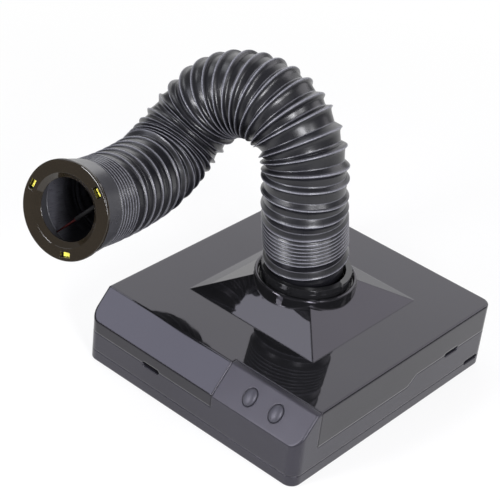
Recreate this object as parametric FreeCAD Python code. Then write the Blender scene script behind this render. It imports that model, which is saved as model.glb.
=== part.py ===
import FreeCAD, Part
import math
import os

# Portable fume extractor: a flat case with fan and filter, and a bellows hose that keeps its bend.
# Millimetres. The origin is on the table under the middle of the case, +Z up, front towards -Y.

# How far a piece is drawn into one it is fused with, and how far a cutter overshoots a face
BITE = 0.5
OVER = 1.0

# An edge counts as upright when the Z part of its direction is larger than this
UPRIGHT = 0.99

# Case envelope
BASE_W = 240.0
BASE_D = 268.0
ROOF_Z = 66.0
CASE_WALL = 2.5
FLOOR_T = 2.5
CORNER_R = 10.0
BOTTOM_EDGE_R = 1.5
ROOF_EDGE_R = 2.0
SLOPE_LOW_Z = 42.0
SLOPE_DEPTH = 22.0

# Seams: the tray ends at a level seam, the cover at one that steps up towards the back
TRAY_SEAM_Z = 12.0
SEAM_FRONT_Z = 30.5
SEAM_BACK_Z = 38.5
SEAM_STEP_Y = 15.0
SEAM_STEP_L = 11.0
SEAM_GAP = 0.3
LIP_T = 1.6
LIP_H = 4.0
LIP_CLEAR = 0.35

# Pry slots, each centred on a seam
SLOT_L = 20.0
SLOT_H = 4.5
FRONT_SLOT_X = -43.5
SIDE_SLOT_FROM_BACK = 57.0
TRAY_SLOT_FROM_BACK = 20.0

# Hopper and collar on the roof
HOPPER_X = 0.0
HOPPER_Y = 10.0
HOPPER_HALF = 71.0
HOPPER_RISE = 19.0
HOPPER_WALL_DROP = 2.75
COLLAR_R = 45.5
COLLAR_WALL = 3.0
COLLAR_RISE = 5.0
COLLAR_RIM_R = 1.2
LEDGE_W = 3.9
LEDGE_DROP = 12.0
LEDGE_T = 2.5

# Hose coupler in the collar
SEAL_T = 1.0
TURN_CLEAR = 0.35
COUPLER_FLANGE_T = 5.0
COUPLER_STEP = 2.15
COUPLER_RISE = 7.0
COUPLER_WALL = 3.75
SPIGOT_DROP = 8.0
COUPLER_RIBS = 10
RIB_W = 2.0
RIB_PROUD = 0.9
RETAINER_T = 2.0
RETAINER_GRIP = 2.4
RETAINER_SPLIT = 4.0
GROOVE_DEPTH = 1.0

# Hose: crest radius, wall, and the joint gap between neighbouring sections
HOSE_CREST_R = 37.7
HOSE_WALL = 1.2
HOSE_GAP = 0.3
CREST_SHARE = 0.25
SLEEVE_L = 14.0
SLEEVE_CLEAR = 2.1
SLEEVE_FLARE = 0.95

# Depth of the folds: deep in the arch, shallow where the hose is drawn out or packed tight
CUFF_DEPTH = 2.2
ROOT_STACK_DEPTH = 1.5
RISER_DEPTH = 2.8
ARCH_DEPTH = 4.4
ELBOW_DEPTH = 2.8
REACH_DEPTH = 1.2
NOZZLE_STACK_DEPTH = 0.9

# Hose route: how far it leans in the coupler and to which side, and the room above the coupler
ROUTE_RISE = 2.0
HOSE_LEAN = 8.84
HOSE_LEAN_TURN = 67.5
CUFF_CLEAR = 5.3

# Runs of the route: length, bend in degrees, turn of the bend plane. It goes on straight after them.
HOSE_ROUTE = (
    (59.7, 0.0, 0.0),
    (39.2, 17.9, -60.6),
    (138.0, 134.5, 70.9),
    (43.2, 50.6, 62.2),
    (50.4, 41.5, 31.6),
    (89.9, 11.63, 30.4),
)

# Tight stacks of folds at both ends of the hose, and the wide fold that ends the lower one
ROOT_STACK_FOLDS = 7
ROOT_STACK_PITCH = 3.957
ROOT_STACK_LAST = 7.7
NOZZLE_STACK_FOLDS = 7
NOZZLE_STACK_PITCH = 3.987

# Hose sections from the coupler: name, length of each fold, depth of the folds
HOSE_SECTIONS = (
    ("hose_cuff", (15.05,), CUFF_DEPTH),
    ("hose_root_stack", ROOT_STACK_FOLDS * (ROOT_STACK_PITCH,) + (ROOT_STACK_LAST,), ROOT_STACK_DEPTH),
    ("hose_riser", (12.1, 14.0, 7.1), RISER_DEPTH),
    ("hose_arch_1", (11.4, 10.7, 14.3), ARCH_DEPTH),
    ("hose_arch_2", (8.3, 11.4, 9.9), ARCH_DEPTH),
    ("hose_arch_3", (10.1, 8.7, 7.5), ARCH_DEPTH),
    ("hose_arch_4", (8.4, 9.3, 9.5), ARCH_DEPTH),
    ("hose_arch_5", (9.3, 15.3, 11.5), ARCH_DEPTH),
    ("hose_arch_6", (14.1, 9.0), ARCH_DEPTH),
    ("hose_elbow", (7.5, 9.0, 8.0, 8.6, 7.0), ELBOW_DEPTH),
    ("hose_reach_1", (9.4, 12.4), REACH_DEPTH),
    ("hose_reach_2", (12.7, 11.6), REACH_DEPTH),
    ("hose_reach_3", (12.0, 16.0), REACH_DEPTH),
    ("hose_nozzle_stack", NOZZLE_STACK_FOLDS * (NOZZLE_STACK_PITCH,), NOZZLE_STACK_DEPTH),
)

# Nozzle: lengths along the hose axis, from the end of the hose to the face
NOZZLE_LENGTH = 24.9
NOZZLE_WALL = 2.0
NOZZLE_FIT = 0.2
NOZZLE_STEP = 0.5
NOZZLE_FLARE = 3.0
RING_STEP = 0.4
RING_L = 3.0
RING_PLUG_L = 1.4
RING_EDGE_R = 1.0
FUNNEL_R = 30.8
FUNNEL_L = 4.2
NOZZLE_BORE_R = 26.2
LED_COUNT = 3
LED_START = -35.5
LED_WINDOW = (9.4, 4.6)
LED_SIZE = (7.0, 3.6, 1.0)
LED_BOARD_T = 1.2
LED_BOARD_INSET = 1.5

# Lead of the lights: a sleeve from the board, and a bare wire on to the collar's far wall
LEAD_SLEEVE_R = 1.9
LEAD_WIRE_R = 0.8
LEAD_ANGLE = 190.4
LEAD_DROP = 3.0
LEAD_SLEEVE_SHARE = 0.55
LEAD_END_ANGLE = 39.4
LEAD_END_Z = 1.0
LEAD_CLEAR = 0.3

# Control panel at the right front corner, and the board under it
PANEL_W = 93.5
PANEL_D = 27.0
PANEL_GAP = 0.4
BUTTONS_FROM_SIDE = (62.0, 34.0)
BUTTON_W = 12.0
BUTTON_L = 16.0
BUTTON_DOME = 3.2
BUTTON_CLEAR = 0.2
BUTTON_TRAVEL = 1.2
BUTTON_FLANGE = 1.2
BUTTON_FLANGE_T = 1.0
BUTTON_STEM_R = 2.0
BOARD_DEPTH = 10.5
BOARD_W = 18.0
BOARD_T = 1.6
BOARD_MARGIN = 4.0
SWITCH_SIDE = 6.0
SWITCH_H = 3.4
PLUNGER_R = 1.7
PLUNGER_H = 1.0
STANDOFF_R = 2.6
STANDOFF_FROM_BUTTON = 15.6
BOARD_SCREW_R = 1.2
BOARD_SCREW_HEAD_R = 2.3
BOARD_SCREW_HEAD_H = 1.4
SCREW_HOLE_CLEAR = 0.2
SCREW_TIP_CLEAR = 0.5

# Screws that hold the tray to the main housing
CASE_BOSS_INSET = 9.5
CASE_BOSS_R = 4.5
CASE_BOSS_RIB_T = 2.0
CASE_SCREW_R = 1.5
CASE_SCREW_HEAD_R = 2.8
CASE_SCREW_HEAD_H = 1.2
CASE_SCREW_BITE = 12.0

# Fan
FAN_SIDE = 120.0
FAN_DEPTH = 25.0
FAN_Z = 12.0
FAN_RING_T = 2.0
FAN_FLANGE_T = 4.0
FAN_CORNER_R = 6.0
FAN_HOLE_INSET = 7.5
FAN_HOLE_R = 2.2
HUB_R = 20.0
HUB_WALL = 1.6
HUB_PLATE_T = 2.5
HUB_LOW_GAP = 1.0
HUB_TOP_GAP = 3.0
BLADE_TIP_CLEAR = 1.0
BLADE_COUNT = 7
BLADE_PITCH = 32.0
BLADE_T = 1.4
BLADE_CHORD = 30.0
STRUT_W = 4.0
STRUT_COUNT = 4
STRUT_START = 45.0
STATOR_H = 11.0
AIR_GAP = 2.3
SHAFT_R = 1.5
SHAFT_END_GAP = 0.3
BEARING_R = 4.0
BEARING_H = 3.0
BEARING_CLEAR = 0.05
BEARING_TUBE_T = 1.5
MAGNET_T = 1.5
MAGNET_FIT = 0.1
FAN_SCREW_R = 1.9
FAN_SCREW_HEAD_R = 3.6
FAN_SCREW_HEAD_H = 2.2
FAN_BOSS_R = 5.0
FAN_SCREW_BITE = 5.0

# Filter
SHELF_T = 2.0
SHELF_MARGIN = 5.0
SHELF_RIM_H = 5.0
SHELF_RIM_T = 2.0
FILTER_WALL = 4.0
FILTER_CLEAR = 0.6
GASKET_T = 3.0
CARBON_T = 6.0
CARBON_LIP = 3.0
CARBON_LIP_T = 1.0
PLEATS = 18
PLEAT_T = 1.0
PLEAT_FIT = 0.3
POST_R = 5.5
POST_SCREW_R = 1.5
POST_SCREW_HEAD_R = 3.0
POST_SCREW_HEAD_H = 2.0
POST_SCREW_BITE = 8.0

# Rear grille and power inlet
GRILLE_W = 150.0
GRILLE_TOP_Z = 32.0
GRILLE_GAP = 0.4
GRILLE_RAIL_W = 6.0
LOUVRES = 16
LOUVRE_W = 4.0
LOUVRE_BORDER = 3.0
INLET_FROM_END = 9.0
INLET_R = 5.2
INLET_PIN_R = 1.0
INLET_BORE_R = 2.9
INLET_DEPTH = 11.0
INLET_BACK_T = 2.0
INLET_FLANGE_R = 7.0
INLET_FLANGE_T = 1.5
INLET_FIT = 0.1

# Feet
FOOT_PROUD = 1.0
FOOT_R = 8.0
FOOT_T = 2.5
FOOT_INSET = 24.0
FOOT_FIT = 0.1

# Levels and radii that follow from the sizes above
CASE_Z = FOOT_PROUD
FLOOR_Z = CASE_Z + FLOOR_T
FRONT_Y = -BASE_D / 2
BACK_Y = BASE_D / 2
SIDE_X = BASE_W / 2
ROOF_IN_Z = ROOF_Z - CASE_WALL
SLOPE_ANGLE = math.atan2(ROOF_Z - SLOPE_LOW_Z, SLOPE_DEPTH)
SLOPE_LENGTH = math.hypot(SLOPE_DEPTH, ROOF_Z - SLOPE_LOW_Z)
LIP_OUT = CASE_WALL + LIP_CLEAR
LIP_IN = LIP_OUT + LIP_T
HOPPER_TOP_Z = ROOF_Z + HOPPER_RISE
HOPPER_TOP_HALF = COLLAR_R / math.sqrt(2)
COLLAR_TOP_Z = HOPPER_TOP_Z + COLLAR_RISE
COLLAR_BORE_R = COLLAR_R - COLLAR_WALL
LEDGE_R = COLLAR_BORE_R - LEDGE_W
LEDGE_Z = COLLAR_TOP_Z - LEDGE_DROP
LEDGE_TOP_Z = LEDGE_Z + LEDGE_T
SEAT_Z = LEDGE_TOP_Z + SEAL_T
FLANGE_R = COLLAR_BORE_R - TURN_CLEAR
NECK_R = FLANGE_R - COUPLER_STEP
SPIGOT_R = LEDGE_R - TURN_CLEAR
SPIGOT_Z = SEAT_Z - SPIGOT_DROP
COUPLER_BORE_R = SPIGOT_R - COUPLER_WALL
COUPLER_TOP_Z = COLLAR_TOP_Z + COUPLER_RISE
RETAINER_TOP_Z = LEDGE_Z - TURN_CLEAR
RETAINER_R = LEDGE_R + RETAINER_GRIP
SLEEVE_R = COUPLER_BORE_R - SLEEVE_CLEAR
ROUTE_Z = COLLAR_TOP_Z + ROUTE_RISE
LEAN = math.radians(HOSE_LEAN)
CUFF_ROOT_R = HOSE_CREST_R - CUFF_DEPTH
CUFF_RISE = COUPLER_TOP_Z - ROUTE_Z + CUFF_ROOT_R * math.sin(LEAN) + CUFF_CLEAR
HOSE_START = CUFF_RISE / math.cos(LEAN)
NOZZLE_BACK_R = HOSE_CREST_R + NOZZLE_STEP
NOZZLE_FRONT_R = NOZZLE_BACK_R + NOZZLE_FLARE
RING_R = NOZZLE_FRONT_R + RING_STEP
RING_T = RING_L + RING_PLUG_L
COLLAR_END_Z = NOZZLE_LENGTH - RING_L
LED_CIRCLE_R = (FUNNEL_R + RING_R) / 2
PANEL_LEFT_X = SIDE_X - PANEL_W
PANEL_BACK_Y = FRONT_Y + PANEL_D
BUTTON_X = [SIDE_X - distance for distance in BUTTONS_FROM_SIDE]
BUTTON_ALONG = SLOPE_LENGTH / 2
FAN_TOP_Z = FAN_Z + FAN_DEPTH
FAN_BORE_R = FAN_SIDE / 2 - FAN_RING_T
HUB_LOW_Z = FAN_Z + HUB_PLATE_T + HUB_LOW_GAP
HUB_TOP_Z = FAN_TOP_Z - HUB_TOP_GAP
MAGNET_R = HUB_R - HUB_WALL - MAGNET_FIT
STATOR_R = MAGNET_R - MAGNET_T - AIR_GAP
SHELF_TOP_Z = FAN_TOP_Z + SHELF_T
FILTER_SIDE = 2 * (HOPPER_HALF + FILTER_WALL)
FILTER_TOP_Z = ROOF_IN_Z - GASKET_T
GRILLE_LOW_Z = TRAY_SEAM_Z - SEAM_GAP
INLET_X = GRILLE_W / 2 - INLET_FROM_END
INLET_Z = (GRILLE_LOW_Z + GRILLE_TOP_Z) / 2

X_AXIS = FreeCAD.Vector(1, 0, 0)
Y_AXIS = FreeCAD.Vector(0, 1, 0)
Z_AXIS = FreeCAD.Vector(0, 0, 1)


def vec(x, y, z):
    return FreeCAD.Vector(x, y, z)


def box(x0, x1, y0, y1, z0, z1):
    return Part.makeBox(x1 - x0, y1 - y0, z1 - z0, vec(x0, y0, z0))


def cylinder(radius, z0, z1, x=0.0, y=0.0):
    return Part.makeCylinder(radius, z1 - z0, vec(x, y, z0), Z_AXIS)


def ring(outer, inner, z0, z1, x=0.0, y=0.0):
    return cylinder(outer, z0, z1, x, y).cut(cylinder(inner, z0, z1, x, y))


def prism_x(points, x0, x1):
    """A solid with the outline of (y, z) points, drawn along X."""
    wire = Part.makePolygon([vec(x0, y, z) for y, z in points + points[:1]])
    return Part.Face(wire).extrude(vec(x1 - x0, 0, 0))


def rounded_block(half_x, y0, y1, z0, z1, radius):
    block = box(-half_x, half_x, y0, y1, z0, z1)
    uprights = [e for e in block.Edges if abs(e.tangentAt(e.FirstParameter).z) > UPRIGHT]
    return block.makeFillet(radius, uprights)


def stadium(length, height, depth):
    """A slot cutter along X, its round ends in the XZ plane, centred, drawn along Y."""
    run = length - height
    bar = Part.makeBox(run, depth, height, vec(-run / 2, -depth / 2, -height / 2))
    for side in (-1, 1):
        end = Part.makeCylinder(height / 2, depth, vec(side * run / 2, -depth / 2, 0), Y_AXIS)
        bar = bar.fuse(end)
    return bar


def moved(shape, offset, turn=0.0, axis=Z_AXIS):
    copy = shape.copy()
    copy.rotate(vec(0, 0, 0), axis, turn)
    copy.translate(offset)
    return copy


def at_hopper(shape):
    return moved(shape, vec(HOPPER_X, HOPPER_Y, 0))


def fused(shapes):
    first, rest = shapes[0], shapes[1:]
    return first.fuse(rest).removeSplitter() if rest else first


def save(name, shape):
    shape.exportStep("parts/" + name + ".step")


def save_group(name, shapes):
    save(name, Part.makeCompound(shapes))


# Case envelope, shared by the cover, the control housing and the lower case
def envelope(inset, low_z):
    """The outside of the case drawn in by inset, from low_z up."""
    block = rounded_block(SIDE_X - inset, FRONT_Y + inset, BACK_Y - inset,
                          low_z, ROOF_Z - inset, CORNER_R - inset)
    shift = inset / math.cos(SLOPE_ANGLE)
    rise = math.tan(SLOPE_ANGLE)
    far_y = FRONT_Y - SLOPE_DEPTH
    near_y = FRONT_Y + 2 * SLOPE_DEPTH
    line = [(y, SLOPE_LOW_Z + rise * (y - FRONT_Y) - shift) for y in (far_y, near_y)]
    top = line[1][1]
    wedge = prism_x(line + [(far_y, top)], -BASE_W, BASE_W)
    return block.cut(wedge)


def soft_edges(shape, radius, above):
    """Round every outer edge that is not upright and lies above a height."""
    edges = []
    for edge in shape.Edges:
        along = edge.tangentAt((edge.FirstParameter + edge.LastParameter) / 2)
        if edge.BoundBox.ZMin > above and abs(along.z) < UPRIGHT:
            edges.append(edge)
    return shape.makeFillet(radius, edges)


def case_shell():
    outer = soft_edges(envelope(0.0, TRAY_SEAM_Z), ROOF_EDGE_R, TRAY_SEAM_Z + OVER)
    return outer.cut(envelope(CASE_WALL, TRAY_SEAM_Z - OVER))


def below_seam(shift):
    """All of the case below the cover's seam, with the seam moved up by shift."""
    step_end = SEAM_STEP_Y + SEAM_STEP_L
    outline = [
        (FRONT_Y - OVER, SEAM_FRONT_Z + shift),
        (SEAM_STEP_Y, SEAM_FRONT_Z + shift),
        (step_end, SEAM_BACK_Z + shift),
        (BACK_Y + OVER, SEAM_BACK_Z + shift),
        (BACK_Y + OVER, TRAY_SEAM_Z - OVER),
        (FRONT_Y - OVER, TRAY_SEAM_Z - OVER),
    ]
    return prism_x(outline, -SIDE_X - OVER, SIDE_X + OVER)


def panel_region(gap):
    return box(PANEL_LEFT_X - gap, SIDE_X + OVER, FRONT_Y - OVER, PANEL_BACK_Y + gap,
               TRAY_SEAM_Z - OVER, ROOF_Z + OVER)


def grille_region(gap):
    half = GRILLE_W / 2 + gap
    return box(-half, half, BACK_Y - CASE_WALL - OVER, BACK_Y + OVER, 0.0, GRILLE_TOP_Z + gap)


# Cover with hopper and collar
def square_frustum(half_low, z_low, half_high, z_high):
    def square(half, z):
        corners = [(-half, -half), (half, -half), (half, half), (-half, half), (-half, -half)]
        return Part.makePolygon([vec(HOPPER_X + x, HOPPER_Y + y, z) for x, y in corners])
    return Part.makeLoft([square(half_low, z_low), square(half_high, z_high)], True, True)


def hopper_half(z, drop):
    """Half width of the hopper face at a height, for a face lowered by drop."""
    slope = (HOPPER_HALF - HOPPER_TOP_HALF) / (HOPPER_TOP_Z - ROOF_Z)
    return HOPPER_HALF - slope * (z + drop - ROOF_Z)


def cover():
    low = ROOF_IN_Z - BITE
    shell = case_shell().cut([below_seam(SEAM_GAP), panel_region(PANEL_GAP)])
    hood = square_frustum(hopper_half(ROOF_IN_Z, 0.0), ROOF_IN_Z, HOPPER_TOP_HALF, HOPPER_TOP_Z)
    collar = cylinder(COLLAR_R, ROOF_Z, COLLAR_TOP_Z, HOPPER_X, HOPPER_Y)
    rims = [e for e in collar.Edges if e.BoundBox.ZMin > COLLAR_TOP_Z - BITE]
    collar = collar.makeFillet(COLLAR_RIM_R, rims)
    body = shell.fuse([hood, collar])
    funnel = square_frustum(hopper_half(low, HOPPER_WALL_DROP), low,
                            hopper_half(LEDGE_Z, HOPPER_WALL_DROP), LEDGE_Z)
    throat = cylinder(COLLAR_R - CASE_WALL, ROOF_IN_Z, LEDGE_Z, HOPPER_X, HOPPER_Y)
    mouth = cylinder(LEDGE_R, LEDGE_Z - OVER, LEDGE_TOP_Z + OVER, HOPPER_X, HOPPER_Y)
    socket = cylinder(COLLAR_BORE_R, LEDGE_TOP_Z, COLLAR_TOP_Z + OVER, HOPPER_X, HOPPER_Y)
    return body.cut([funnel, throat, mouth, socket] + pry_slots()).removeSplitter()


def pry_slots():
    """Cutters for the slots, each through both pieces that meet at its seam."""
    cutter = stadium(SLOT_L, SLOT_H, 4 * CASE_WALL)
    side_y = BACK_Y - SIDE_SLOT_FROM_BACK
    tray_y = BACK_Y - TRAY_SLOT_FROM_BACK
    slots = [moved(cutter, vec(FRONT_SLOT_X, FRONT_Y, SEAM_FRONT_Z))]
    for side in (-1, 1):
        slots.append(moved(cutter, vec(side * SIDE_X, side_y, SEAM_BACK_Z), 90))
        slots.append(moved(cutter, vec(side * SIDE_X, tray_y, TRAY_SEAM_Z), 90))
    return slots


# Lower case
def lower_case():
    outer = rounded_block(SIDE_X, FRONT_Y, BACK_Y, CASE_Z, TRAY_SEAM_Z - SEAM_GAP, CORNER_R)
    base_edges = [e for e in outer.Edges if e.BoundBox.ZMax < CASE_Z + BITE]
    outer = outer.makeFillet(BOTTOM_EDGE_R, base_edges)
    inside = rounded_block(SIDE_X - CASE_WALL, FRONT_Y + CASE_WALL, BACK_Y - CASE_WALL,
                           FLOOR_Z, TRAY_SEAM_Z + OVER, CORNER_R - CASE_WALL)
    pieces = [outer.cut(inside), tray_band(LIP_OUT, TRAY_SEAM_Z + LIP_H),
              tray_band(CASE_WALL / 2, TRAY_SEAM_Z - LIP_H / 2)]
    pieces += [cylinder(FAN_BOSS_R, FLOOR_Z - BITE, FAN_Z, x, y) for x, y in fan_holes()]
    pieces += [cylinder(POST_R, FLOOR_Z - BITE, FAN_TOP_Z, x, y) for x, y in shelf_posts()]
    cuts = [grille_slot()] + pry_slots()
    for x, y in fan_holes():
        cuts.append(cylinder(FAN_SCREW_R, FAN_Z - FAN_SCREW_BITE, FAN_Z + OVER, x, y))
    for x, y in shelf_posts():
        cuts.append(cylinder(POST_SCREW_R, FAN_TOP_Z - POST_SCREW_BITE, FAN_TOP_Z + OVER, x, y))
    for x, y in foot_places():
        cuts.append(cylinder(FOOT_R + FOOT_FIT, CASE_Z - OVER, CASE_Z + FOOT_T - FOOT_PROUD, x, y))
    for x, y in case_bosses():
        cuts.append(cylinder(CASE_SCREW_R + SCREW_HOLE_CLEAR, CASE_Z, FLOOR_Z + OVER, x, y))
        cuts.append(cylinder(CASE_SCREW_HEAD_R + SCREW_HOLE_CLEAR, CASE_Z - OVER,
                             CASE_Z + CASE_SCREW_HEAD_H, x, y))
    return fused(pieces).cut(cuts)


def tray_band(outer, high):
    """A band inside the tray's wall, from the floor up to a height."""
    band = rounded_block(SIDE_X - outer, FRONT_Y + outer, BACK_Y - outer,
                         FLOOR_Z - BITE, high, CORNER_R - outer)
    return band.cut(rounded_block(SIDE_X - LIP_IN, FRONT_Y + LIP_IN, BACK_Y - LIP_IN,
                                  FLOOR_Z - OVER, high + OVER, CORNER_R - LIP_IN))


def case_bosses():
    x = SIDE_X - CASE_BOSS_INSET
    y = BACK_Y - CASE_BOSS_INSET
    return [(sx * x, sy * y) for sx in (-1, 1) for sy in (-1, 1)]


def case_screws():
    """Screws up through the tray's floor into the bosses of the main housing."""
    screws = []
    for x, y in case_bosses():
        shank = cylinder(CASE_SCREW_R, CASE_Z, FLOOR_Z + CASE_SCREW_BITE - SCREW_TIP_CLEAR, x, y)
        screws.append(shank.fuse(cylinder(CASE_SCREW_HEAD_R, CASE_Z, CASE_Z + CASE_SCREW_HEAD_H, x, y)))
    return screws


def fan_holes():
    half = FAN_SIDE / 2 - FAN_HOLE_INSET
    return [(HOPPER_X + sx * half, HOPPER_Y + sy * half) for sx in (-1, 1) for sy in (-1, 1)]


def shelf_posts():
    half = FILTER_SIDE / 2 + SHELF_MARGIN + POST_R
    return [(HOPPER_X + sx * half, HOPPER_Y + sy * half) for sx in (-1, 1) for sy in (-1, 1)]


def foot_places():
    x = SIDE_X - FOOT_INSET
    y = BACK_Y - FOOT_INSET
    return [(sx * x, sy * y) for sx in (-1, 1) for sy in (-1, 1)]


def feet():
    return [cylinder(FOOT_R, 0.0, FOOT_T, x, y) for x, y in foot_places()]


# Main housing with the control panel, its buttons and its board
def on_slope(x, along, depth):
    """A point under the slope: along runs up the slope from its lower edge, depth goes inwards."""
    c = math.cos(SLOPE_ANGLE)
    s = math.sin(SLOPE_ANGLE)
    return vec(x, FRONT_Y + along * c + depth * s, SLOPE_LOW_Z + along * s - depth * c)


def slope_place(shape, x, along, depth):
    """Turn a shape drawn with +Z outwards and +Y up the slope, and set it on the slope."""
    return moved(shape, on_slope(x, along, depth), math.degrees(SLOPE_ANGLE), X_AXIS)


def oval_block(width, length, z0, z1):
    ellipse = Part.Ellipse(vec(0, 0, z0), length / 2, width / 2)
    wire = Part.Wire(ellipse.toShape())
    block = Part.Face(wire).extrude(vec(0, 0, z1 - z0))
    block.rotate(vec(0, 0, 0), Z_AXIS, 90)
    return block


def main_housing():
    """The walls between the tray and the cover, with the control panel up to the roof."""
    keep = below_seam(0.0).fuse(panel_region(0.0))
    shell = case_shell().common(keep).cut(grille_region(GRILLE_GAP))
    pieces = [shell, seam_lip(), panel_end()] + housing_bosses()
    post = cylinder(STANDOFF_R, 0.0, BOARD_DEPTH - CASE_WALL / 2)
    pieces += [slope_place(post, x, BUTTON_ALONG, BOARD_DEPTH) for x in standoff_x()]
    hole = oval_block(BUTTON_W + 2 * BUTTON_CLEAR, BUTTON_L + 2 * BUTTON_CLEAR,
                      -2 * CASE_WALL, CASE_WALL)
    pilot = cylinder(BOARD_SCREW_R, -OVER, BOARD_DEPTH - 2 * CASE_WALL)
    cuts = [slope_place(hole, x, BUTTON_ALONG, 0.0) for x in BUTTON_X]
    cuts += [slope_place(pilot, x, BUTTON_ALONG, BOARD_DEPTH) for x in standoff_x()]
    return fused(pieces).cut(cuts + pry_slots())


def seam_lip():
    """A lip that stands up inside the cover along the seam, on a web joined to the wall."""
    inner = envelope(LIP_IN, TRAY_SEAM_Z - OVER)
    lip = envelope(LIP_OUT, TRAY_SEAM_Z).cut(inner).common(below_seam(LIP_H))
    web = envelope(CASE_WALL - BITE, TRAY_SEAM_Z).cut(inner).common(below_seam(-SEAM_GAP))
    band = lip.fuse(web).cut(below_seam(-LIP_H))
    behind_panel = box(PANEL_LEFT_X + BITE, SIDE_X, FRONT_Y, PANEL_BACK_Y - BITE, SEAM_FRONT_Z, ROOF_Z)
    return band.cut(behind_panel)


def panel_end():
    """The wall at the panel's left end, beside the cover."""
    wall = box(PANEL_LEFT_X, PANEL_LEFT_X + CASE_WALL, FRONT_Y, PANEL_BACK_Y, SEAM_FRONT_Z, ROOF_Z)
    return envelope(CASE_WALL / 2, TRAY_SEAM_Z).common(wall)


def housing_bosses():
    """Screw bosses in the corners, each tied to the side wall by a rib above the tray's lip."""
    rib_z = TRAY_SEAM_Z + LIP_H + LIP_CLEAR
    top = FLOOR_Z + CASE_SCREW_BITE + CASE_BOSS_R
    bosses = []
    for x, y in case_bosses():
        wall_x = math.copysign(SIDE_X - CASE_WALL / 2, x)
        rib = box(min(x, wall_x), max(x, wall_x), y - CASE_BOSS_RIB_T / 2, y + CASE_BOSS_RIB_T / 2,
                  rib_z, top)
        boss = cylinder(CASE_BOSS_R, FLOOR_Z, top, x, y).fuse(rib)
        bosses.append(boss.cut(cylinder(CASE_SCREW_R, FLOOR_Z - OVER, FLOOR_Z + CASE_SCREW_BITE, x, y)))
    return bosses


def standoff_x():
    return (BUTTON_X[0] - STANDOFF_FROM_BUTTON, BUTTON_X[1] + STANDOFF_FROM_BUTTON)


def button():
    """An oval dome on a straight side, with a flange under the panel and a stem to its switch."""
    low = -CASE_WALL - BUTTON_CLEAR - BUTTON_FLANGE_T
    side = oval_block(BUTTON_W, BUTTON_L, low, 0.0)
    stretch = FreeCAD.Matrix()
    stretch.scale(BUTTON_W / 2, BUTTON_L / 2, BUTTON_DOME)
    dome = Part.makeSphere(1.0).transformGeometry(stretch)
    half = BUTTON_L / 2
    dome = dome.common(box(-half, half, -half, half, 0.0, BUTTON_DOME))
    flange = oval_block(BUTTON_W + 2 * BUTTON_FLANGE, BUTTON_L + 2 * BUTTON_FLANGE,
                        low, -CASE_WALL - BUTTON_CLEAR)
    stem_end = -BOARD_DEPTH + SWITCH_H + PLUNGER_H + BUTTON_TRAVEL + BUTTON_CLEAR
    stem = cylinder(BUTTON_STEM_R, stem_end, low + BITE)
    return fused([side, dome, flange, stem])


def control_board():
    left, right = standoff_x()
    half = (right - left) / 2 + BOARD_MARGIN
    board = box(-half, half, -BOARD_W / 2, BOARD_W / 2, -BOARD_T, 0.0)
    board = slope_place(board, (left + right) / 2, BUTTON_ALONG, BOARD_DEPTH)
    hole = cylinder(BOARD_SCREW_R + SCREW_HOLE_CLEAR, -2 * BOARD_T, BOARD_T)
    return board.cut([slope_place(hole, x, BUTTON_ALONG, BOARD_DEPTH) for x in standoff_x()])


def tact_switches():
    half = SWITCH_SIDE / 2
    body = box(-half, half, -half, half, 0.0, SWITCH_H)
    body = body.fuse(cylinder(PLUNGER_R, SWITCH_H - BITE, SWITCH_H + PLUNGER_H))
    return [slope_place(body, x, BUTTON_ALONG, BOARD_DEPTH) for x in BUTTON_X]


def board_screws():
    shank = cylinder(BOARD_SCREW_R, -BOARD_T, BOARD_DEPTH - 2 * CASE_WALL - SCREW_TIP_CLEAR)
    head = cylinder(BOARD_SCREW_HEAD_R, -BOARD_T - BOARD_SCREW_HEAD_H, -BOARD_T)
    screw = shank.fuse(head)
    return [slope_place(screw, x, BUTTON_ALONG, BOARD_DEPTH) for x in standoff_x()]


# Fan
def fan_frame():
    half = FAN_SIDE / 2
    plate_top = FAN_Z + HUB_PLATE_T
    block = rounded_block(half, -half, half, FAN_Z, FAN_TOP_Z, FAN_CORNER_R)
    waist = rounded_block(half + OVER, -half - OVER, half + OVER, FAN_Z + FAN_FLANGE_T,
                          FAN_TOP_Z - FAN_FLANGE_T, FAN_CORNER_R)
    waist = waist.cut(cylinder(half, FAN_Z, FAN_TOP_Z))
    frame = block.cut([waist, cylinder(FAN_BORE_R, FAN_Z - OVER, FAN_TOP_Z + OVER)])
    hub = cylinder(HUB_R, FAN_Z, plate_top)
    tube = ring(BEARING_R + BEARING_TUBE_T, BEARING_R, plate_top - BITE, plate_top + STATOR_H)
    bar = box(HUB_R - OVER, FAN_BORE_R + OVER, -STRUT_W / 2, STRUT_W / 2, FAN_Z, plate_top)
    turns = [STRUT_START + index * 360.0 / STRUT_COUNT for index in range(STRUT_COUNT)]
    frame = at_hopper(fused([frame, hub, tube] + [moved(bar, vec(0, 0, 0), turn) for turn in turns]))
    return frame.cut([cylinder(FAN_HOLE_R, FAN_Z - OVER, FAN_TOP_Z + OVER, x, y) for x, y in fan_holes()])


def fan_stator():
    low = FAN_Z + HUB_PLATE_T
    return at_hopper(ring(STATOR_R, BEARING_R + BEARING_TUBE_T + MAGNET_FIT, low, low + STATOR_H))


def fan_bearings():
    low = FAN_Z + HUB_PLATE_T
    heights = (low, low + STATOR_H - BEARING_H)
    return [at_hopper(ring(BEARING_R, SHAFT_R + BEARING_CLEAR, z, z + BEARING_H)) for z in heights]


def fan_shaft():
    return at_hopper(cylinder(SHAFT_R, FAN_Z + HUB_PLATE_T + SHAFT_END_GAP, HUB_TOP_Z - HUB_WALL))


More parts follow.
